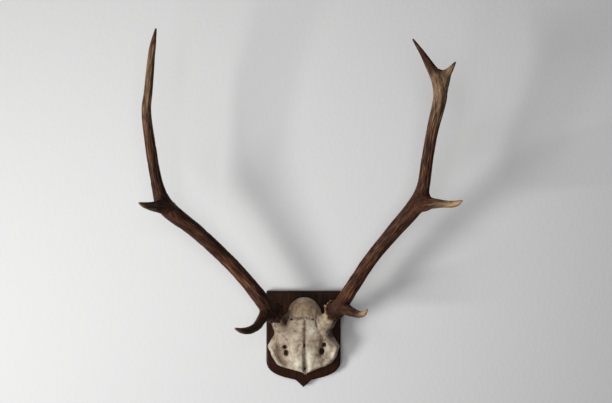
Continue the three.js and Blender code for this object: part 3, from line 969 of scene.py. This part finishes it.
def make_skull(settings, material):
    """The skull front: fused, carved to its smooth body, seamed, roughened and marked for its material."""
    skull = Skull()
    thing = new_object("skull_front", skull.rough_mesh())
    for voxel, rounds in ((2.0, 14), (settings.skin_step / MM, 3)):
        fuse(thing, voxel)
        surface = Surface(thing)
        surface.carve(skull.gap, rounds)
        surface.relax(1, 0.4)
        surface.write()
    surface = Surface(thing)
    normals = surface.normals()
    facing = np.clip(-normals[:, 1], 0, 1) ** 0.6
    depth, dark = skull_marks(surface.places)
    brown, pale = skull_stains(surface.places)
    waves = noise_at(surface.places / BONE_SIZES["waves"], 2)
    grit = noise_at(surface.places / BONE_SIZES["grit"] + 7.0, 2)
    pores = bump_at(surface.places / BONE_SIZES["pores"] + 2.0) ** 3 * fade(waves, 0.0, 0.5)
    knobs = bump_at(surface.places / BONE_SIZES["knobs"] + 4.0) * skull.near_burr(surface.places)
    relief = settings.unevenness / MM * waves + BONE_HEIGHTS["grit"] * grit
    relief = relief - BONE_HEIGHTS["pores"] * pores + BONE_HEIGHTS["knobs"] * knobs
    surface.places[:, 1] += depth * facing
    relief *= fade(-surface.places[:, 1], SHIELD_FRONT, SHIELD_FRONT + 4)
    surface.places += relief[:, None] * normals
    surface.store("dark", dark * facing)
    surface.store("brown", brown)
    surface.store("pale", pale)
    surface.store("high", fade(surface.places[:, 2], 40, 70))
    surface.write()
    finish_piece(thing, material, ("skull",))


def bone_material(settings):
    """Boiled and weathered bone: chalky, cream where it is thick, taupe on the crown, stained brown, with
    painted shade in its holes, at its right temple and down its left brow, and a painted highlight on its
    left rim.
    """
    material, tree, place = new_material("Bone, boiled and weathered")
    marks = {
        key: node(tree, "ShaderNodeAttribute", attribute_name=key).outputs["Fac"]
        for key in ("dark", "brown", "pale", "high")
    }
    # mottling about 9 mm across, and grit of about 1 mm
    mottle, grit = (
        node(tree, "ShaderNodeTexNoise", {
            "Vector": place, "Scale": 1 / (size * MM), "Detail": detail, "Roughness": rough,
        }).outputs["Fac"]
        for size, detail, rough in ((9, 5.0, 0.62), (1.1, 3.0, 0.6))
    )
    ground, crown, cream = (
        node(tree, "ShaderNodeValToRGB", {"Fac": mottle}, stops=stops).outputs[0]
        for stops in (BONE_GROUND, BONE_CROWN, BONE_CREAM)
    )
    ragged = node(tree, "ShaderNodeMapRange", {
        "Value": mottle, "From Min": 0.35, "From Max": 0.6, "To Min": 0.55, "To Max": 1.25,
    })
    # Brown from stains, and painted shade at the right temple, beside the brow holes and down the left brow
    stain_and_shade_share = node(tree, "ShaderNodeMath", {
        0: marks["brown"], 1: ragged.outputs[0],
    }, operation="MULTIPLY", use_clamp=True)
    colour = ground
    for share, over in (
        # The pale mark paints weathering and the painted highlight on the left rim
        (marks["high"], crown), (marks["pale"], cream), (stain_and_shade_share.outputs[0], (*settings.stain_colour, 1.0)),
        # The dark mark paints dirt in the seams and painted shade in the holes
        (marks["dark"], (*settings.seam_colour, 1.0)),
    ):
        colour = node(tree, "ShaderNodeMix", {
            "Factor": share, 6: colour, 7: over,
        }, data_type="RGBA").outputs[2]
    dull = node(tree, "ShaderNodeMapRange", {
        "Value": grit, "From Min": 0.3, "From Max": 0.7, "To Min": 0.6, "To Max": 0.82,
    })
    bump = node(tree, "ShaderNodeBump", {"Height": grit, "Strength": 0.35, "Distance": 0.5 * MM})
    skin = node(tree, "ShaderNodeBsdfPrincipled", {
        "Base Color": colour, "Roughness": dull.outputs[0], "Normal": bump.outputs[0],
        "Specular IOR Level": 0.25, "Subsurface Weight": 0.06,
        "Subsurface Radius": (2.5 * MM, 1.6 * MM, 1.0 * MM), "Subsurface Scale": 1.0,
    })
    node(tree, "ShaderNodeOutputMaterial", {"Surface": skin.outputs[0]})
    return material


# Shield and screws
# Sizes of the wood's open grain, its broad swells and the dents in its edges, and how high or deep these are
GRAIN_WAVES = (2.6, 9, 85)
SWELL_WAVES = (38, 60, 120)
DENT_SIZE = 7.0
SWELL_HEIGHT = 0.35
DENT_DEPTH = 0.5


def make_shield(settings, material):
    """A skinned copy of the board, so that its grain, dents and worn edges are in its shape."""
    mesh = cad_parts["shield"].data.copy()
    shape = bmesh.new()
    shape.from_mesh(mesh)
    bmesh.ops.remove_doubles(shape, verts=shape.verts, dist=0.01 * MM)
    shape.to_mesh(mesh)
    shape.free()
    thing = new_object("shield_board", mesh)
    fuse(thing, settings.skin_step / MM)
    surface = Surface(thing)
    before = surface.places.copy()
    surface.relax(3)
    edge = np.linalg.norm(surface.places - before, axis=1)
    normals = surface.normals()
    front = fade(-surface.places[:, 1], 0.5, 2.5)
    grain = noise_at(surface.places / GRAIN_WAVES + 4.0, 2)
    swell = noise_at(surface.places / SWELL_WAVES + 9.0)
    dents = noise_at(surface.places / DENT_SIZE + 2.0) * fade(edge, 0.1, 0.6)
    relief = settings.grain_depth / MM * grain + SWELL_HEIGHT * swell - DENT_DEPTH * np.abs(dents)
    surface.places += (front * relief)[:, None] * normals
    surface.store("edge", fade(edge, 0.15, 0.7))
    surface.write()
    finish_piece(thing, material, ("shield",))


def wood_material(settings):
    """Stained and waxed hardwood: nearly black brown with a red cast, upright grain, a low wax shine."""
    material, tree, place = new_material("Hardwood, stained and waxed")
    # upright grain about 5 mm wide and 60 mm long that wanders, and pores of about 0.7 mm
    upright = node(tree, "ShaderNodeMapping", {"Vector": place, "Scale": (1, 0.5, 0.08)}).outputs[0]
    grain = node(tree, "ShaderNodeTexNoise", {
        "Vector": upright, "Scale": 1 / (5 * MM), "Detail": 6.0, "Roughness": 0.6, "Distortion": 1.2,
    }).outputs["Fac"]
    pores = node(tree, "ShaderNodeTexNoise", {"Vector": upright, "Scale": 1 / (0.7 * MM), "Detail": 2.0})
    stain = node(tree, "ShaderNodeValToRGB", {"Fac": grain}, stops=(
        (0.28, "#1b0b04"), (0.5, "#291307"), (0.72, "#3d2010"),
    ))
    edge = node(tree, "ShaderNodeAttribute", attribute_name="edge")
    rubbed = node(tree, "ShaderNodeMath", {0: edge.outputs["Fac"], 1: 0.5}, operation="MULTIPLY")
    colour = node(tree, "ShaderNodeMix", {
        "Factor": rubbed.outputs[0], 6: stain.outputs[0], 7: (*settings.edge_colour, 1.0),
    }, data_type="RGBA")
    shine = node(tree, "ShaderNodeMapRange", {
        "Value": grain, "From Min": 0.3, "From Max": 0.7, "To Min": 0.5, "To Max": 0.36,
    })
    bump = node(tree, "ShaderNodeBump", {
        "Height": pores.outputs["Fac"], "Strength": 0.3, "Distance": 0.3 * MM,
    })
    skin = node(tree, "ShaderNodeBsdfPrincipled", {
        "Base Color": colour.outputs[2], "Roughness": shine.outputs[0], "Normal": bump.outputs[0],
        "Specular IOR Level": 0.08,
    })
    node(tree, "ShaderNodeOutputMaterial", {"Surface": skin.outputs[0]})
    return material


def zinc_material():
    """Zinc plated steel, dulled in store: pale grey with darker clouds and a patchy shine."""
    material, tree, place = new_material("Steel, zinc plated and dulled")
    # clouds about 2.5 mm across
    cloud = node(tree, "ShaderNodeTexNoise", {
        "Vector": place, "Scale": 1 / (2.5 * MM), "Detail": 4.0,
    }).outputs["Fac"]
    colour = node(tree, "ShaderNodeValToRGB", {"Fac": cloud}, stops=((0.3, "#77736b"), (0.7, "#a9a59c")))
    dull = node(tree, "ShaderNodeMapRange", {
        "Value": cloud, "From Min": 0.3, "From Max": 0.7, "To Min": 0.55, "To Max": 0.35,
    })
    skin = node(tree, "ShaderNodeBsdfPrincipled", {
        "Base Color": colour.outputs[0], "Roughness": dull.outputs[0], "Metallic": 1.0,
    })
    node(tree, "ShaderNodeOutputMaterial", {"Surface": skin.outputs[0]})
    return material


# Stage
IMAGE = (612, 403)
CAMERA_PLACE = (5.58, -2400.0, 305.9)
FOCAL_PIXELS = 1066.67
SENSOR = 36.0
WALL_GAP = 0.4
# How far from the middle of the view the wall begins to fade into the backdrop, and ends
WALL_FADE = (850.0, 1600.0)
BACKDROP = "#dcdddf"
FILL_COLOUR = "#fffdf8"
LIGHT_SPREAD = math.radians(120)
LIGHT_AIM = (0, 0, 0.3)
# Lights as name, place in metres, share of the main window's power, width and height, and colour
LIGHTS = (
    ("window", (-1.99, -1.85, -0.38), 1.0, (0.75, 0.85), "#fffdf8"),
    ("front window", (-0.15, -2.8, 0.45), 0.36, (1.2, 1.1), "#fffefc"),
    ("low bounce", (-1.14, -2.14, -1.05), 0.2, (1.2, 0.6), "#fcfdff"),
    ("high bounce", (-1.03, -2.42, 1.26), 0.11, (1.0, 0.7), "#fffffa"),
    ("behind the wall", (0.1, 2.8, 0.5), 0.5, (1.4, 1.4), "#ffffff"),
)


def wall_material(settings):
    """Matt emulsion on plaster: pale, faintly textured by the roller, unseen far off and from behind."""
    material, tree, place = new_material("Plaster, painted matt")
    # dapples of the roller about 9 mm across
    roller = node(tree, "ShaderNodeTexNoise", {"Vector": place, "Scale": 1 / (9 * MM), "Detail": 4.0})
    bump = node(tree, "ShaderNodeBump", {
        "Height": roller.outputs["Fac"], "Strength": 0.3, "Distance": 1.5 * MM,
    })
    paint = node(tree, "ShaderNodeBsdfPrincipled", {
        "Base Color": (*settings.wall_colour, 1.0), "Roughness": 0.9, "Normal": bump.outputs[0],
        "Specular IOR Level": 0.2,
    })
    clear = node(tree, "ShaderNodeBsdfTransparent")
    side = node(tree, "ShaderNodeNewGeometry")
    middle = (CAMERA_PLACE[0] * MM, 0.0, CAMERA_PLACE[2] * MM)
    off = node(tree, "ShaderNodeVectorMath", {0: place, 1: middle}, operation="DISTANCE")
    start, end = WALL_FADE
    edge = node(tree, "ShaderNodeMapRange", {
        "Value": off.outputs["Value"], "From Min": start * MM, "From Max": end * MM,
    }, interpolation_type="SMOOTHSTEP")
    gone = node(tree, "ShaderNodeMath", {
        0: side.outputs["Backfacing"], 1: edge.outputs[0],
    }, operation="MAXIMUM")
    either = node(tree, "ShaderNodeMixShader", {
        0: gone.outputs[0], 1: paint.outputs[0], 2: clear.outputs[0],
    })
    node(tree, "ShaderNodeOutputMaterial", {"Surface": either.outputs[0]})
    return material


def make_wall(settings):
    """A wall just behind the shield."""
    middle_x, _, middle_z = CAMERA_PLACE
    reach = WALL_FADE[1]
    corners = [
        ((middle_x + x * reach) * MM, WALL_GAP * MM, (middle_z + z * reach) * MM)
        for x, z in ((-1, -1), (1, -1), (1, 1), (-1, 1))
    ]
    mesh = bpy.data.meshes.new("wall")
    mesh.from_pydata(corners, [], [(0, 1, 2, 3)])
    mesh.materials.append(wall_material(settings))
    wall = new_object("wall", mesh)
    wall.visible_shadow = False


def add_light(name, place, power, size, colour):
    light = bpy.data.lights.new(name, "AREA")
    light.shape = "RECTANGLE"
    light.size, light.size_y = size
    light.energy = power
    light.color = linear(colour)
    light.spread = LIGHT_SPREAD
    thing = new_object(name, light)
    thing.location = place
    thing.rotation_euler = (Vector(LIGHT_AIM) - Vector(place)).to_track_quat("-Z", "Y").to_euler()


def make_stage(settings):
    make_wall(settings)
    for name, place, share, size, colour in LIGHTS:
        add_light(name, place, share * settings.window_power, size, colour)
    world = bpy.data.worlds.new("Soft room light")
    world.use_nodes = True
    tree = world.node_tree
    tree.nodes.clear()
    seen = node(tree, "ShaderNodeLightPath")
    fill = node(tree, "ShaderNodeBackground", {
        "Color": (*linear(FILL_COLOUR), 1.0), "Strength": settings.fill,
    })
    backdrop = node(tree, "ShaderNodeBackground", {"Color": (*linear(BACKDROP), 1.0)})
    either = node(tree, "ShaderNodeMixShader", {
        0: seen.outputs["Is Camera Ray"], 1: fill.outputs[0], 2: backdrop.outputs[0],
    })
    node(tree, "ShaderNodeOutputWorld", {"Surface": either.outputs[0]})
    scene = bpy.context.scene
    scene.world = world
    scene.view_settings.view_transform = "Standard"
    lens = bpy.data.cameras.new("camera")
    lens.sensor_width = SENSOR
    lens.lens = FOCAL_PIXELS * SENSOR / IMAGE[0]
    camera = new_object("camera", lens)
    camera.location = Vector(CAMERA_PLACE) * MM
    camera.rotation_euler = (math.pi / 2, 0, 0)
    scene.camera = camera


# Settings, operators and panel
class AntlerSettings(bpy.types.PropertyGroup):
    skin_step: bpy.props.FloatProperty(
        name="Skin step", description="Width of the small quads of the antlers' skin",
        default=1.05 * MM, min=0.5 * MM, unit="LENGTH")
    rib_height: bpy.props.FloatProperty(
        name="Rib height", description="Height of the long ribs that run up the beams",
        default=1.1 * MM, unit="LENGTH")
    groove_depth: bpy.props.FloatProperty(
        name="Groove depth", description="Depth of the narrow grooves between the ribs",
        default=1.1 * MM, unit="LENGTH")
    pearl_radius: bpy.props.FloatProperty(
        name="Pearl radius", description="Radius of the pearls round the foot of each antler",
        default=3.2 * MM, unit="LENGTH")
    burr_pearls: bpy.props.IntProperty(
        name="Burr pearls", description="Pearls round the foot of each antler", default=21, min=3)
    pearls_per_area: bpy.props.FloatProperty(
        name="Pearls per area", description="Small pearls to a square metre of the lower beam",
        default=9000.0)
    # The groove colour also paints the shade under the burr
    groove_colour: bpy.props.FloatVectorProperty(
        name="Groove colour", description="Dirt and stain in the grooves and round the foot",
        subtype="COLOR", default=linear("#140b07"))


class BoneSettings(bpy.types.PropertyGroup):
    skin_step: bpy.props.FloatProperty(
        name="Skin step", description="Width of the small quads of the skull's skin",
        default=0.95 * MM, min=0.5 * MM, unit="LENGTH")
    unevenness: bpy.props.FloatProperty(
        name="Unevenness", description="Height of the bone's broad low bumps",
        default=0.7 * MM, unit="LENGTH")
    # The stain colour also paints shade at the right temple, beside the holes and down the left brow
    stain_colour: bpy.props.FloatVectorProperty(
        name="Stain colour", description="Brown stain in the hollows and by the antlers",
        subtype="COLOR", default=linear("#46311f"))
    # The seam colour also paints the shade inside the holes
    seam_colour: bpy.props.FloatVectorProperty(
        name="Seam colour", description="Dirt in the seams and holes",
        subtype="COLOR", default=linear("#1c150f"))


class ShieldSettings(bpy.types.PropertyGroup):
    skin_step: bpy.props.FloatProperty(
        name="Skin step", description="Width of the small quads of the board's skin",
        default=1.1 * MM, min=0.5 * MM, unit="LENGTH")
    grain_depth: bpy.props.FloatProperty(
        name="Grain depth", description="Height of the open grain", default=0.14 * MM, unit="LENGTH")
    edge_colour: bpy.props.FloatVectorProperty(
        name="Edge colour", description="Wood showing where the edges are rubbed",
        subtype="COLOR", default=linear("#4a281c"))


class StageSettings(bpy.types.PropertyGroup):
    wall_colour: bpy.props.FloatVectorProperty(
        name="Wall colour", description="Paint of the wall", subtype="COLOR", default=linear("#e4e5e8"))
    window_power: bpy.props.FloatProperty(
        name="Window power", description="Strength of the main window's light", default=22.6, unit="POWER")
    fill: bpy.props.FloatProperty(
        name="Fill", description="Strength of the light from all round", default=0.04)


class TROPHY_OT_antlers(bpy.types.Operator):
    """Grows the two antlers"""
    bl_idname = "trophy.antlers"
    bl_label = "Antlers"

    def execute(self, context):
        settings = context.scene.trophy_antlers
        material = antler_material(settings)
        tree = antler_tree()
        for name, plan in ANTLERS.items():
            make_antler(name, plan, settings, tree, material)
        return {"FINISHED"}


class TROPHY_OT_skull(bpy.types.Operator):
    """Shapes the front of the skull"""
    bl_idname = "trophy.skull"
    bl_label = "Skull front"

    def execute(self, context):
        settings = context.scene.trophy_bone
        make_skull(settings, bone_material(settings))
        return {"FINISHED"}


class TROPHY_OT_shield(bpy.types.Operator):
    """Makes the wooden shield"""
    bl_idname = "trophy.shield"
    bl_label = "Shield"

    def execute(self, context):
        settings = context.scene.trophy_shield
        make_shield(settings, wood_material(settings))
        return {"FINISHED"}


class TROPHY_OT_screws(bpy.types.Operator):
    """Plates the two screws behind the shield"""
    bl_idname = "trophy.screws"
    bl_label = "Screws"

    def execute(self, context):
        zinc = zinc_material()
        for name in ("skull_screw_1", "skull_screw_2"):
            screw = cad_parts[name].data
            screw.materials.clear()
            screw.materials.append(zinc)
        return {"FINISHED"}


class TROPHY_OT_stage(bpy.types.Operator):
    """Sets the wall, the lights and the camera"""
    bl_idname = "trophy.stage"
    bl_label = "Stage"

    def execute(self, context):
        make_stage(context.scene.trophy_stage)
        return {"FINISHED"}


GROUPS = {
    "trophy_antlers": AntlerSettings,
    "trophy_bone": BoneSettings,
    "trophy_shield": ShieldSettings,
    "trophy_stage": StageSettings,
}
OPERATORS = (TROPHY_OT_stage, TROPHY_OT_antlers, TROPHY_OT_skull, TROPHY_OT_shield, TROPHY_OT_screws)


class TROPHY_PT_panel(bpy.types.Panel):
    """Lists the trophy's pieces and their settings"""
    bl_idname = "TROPHY_PT_panel"
    bl_label = "Trophy"
    bl_space_type = "VIEW_3D"
    bl_region_type = "UI"
    bl_category = "Trophy"

    def draw(self, context):
        for operator in OPERATORS:
            self.layout.operator(operator.bl_idname)
        for name, group in GROUPS.items():
            box = self.layout.box()
            for key in group.__annotations__:
                box.prop(getattr(context.scene, name), key)


def register():
    for group in (*GROUPS.values(), *OPERATORS, TROPHY_PT_panel):
        bpy.utils.register_class(group)
    for name, group in GROUPS.items():
        setattr(bpy.types.Scene, name, bpy.props.PointerProperty(type=group))


def unregister():
    for name in GROUPS:
        delattr(bpy.types.Scene, name)
    for group in reversed((*GROUPS.values(), *OPERATORS, TROPHY_PT_panel)):
        bpy.utils.unregister_class(group)


def main():
    register()
    bpy.ops.trophy.stage()
    bpy.ops.trophy.antlers()
    bpy.ops.trophy.skull()
    bpy.ops.trophy.shield()
    bpy.ops.trophy.screws()


if __name__ == "__main__":
    main()
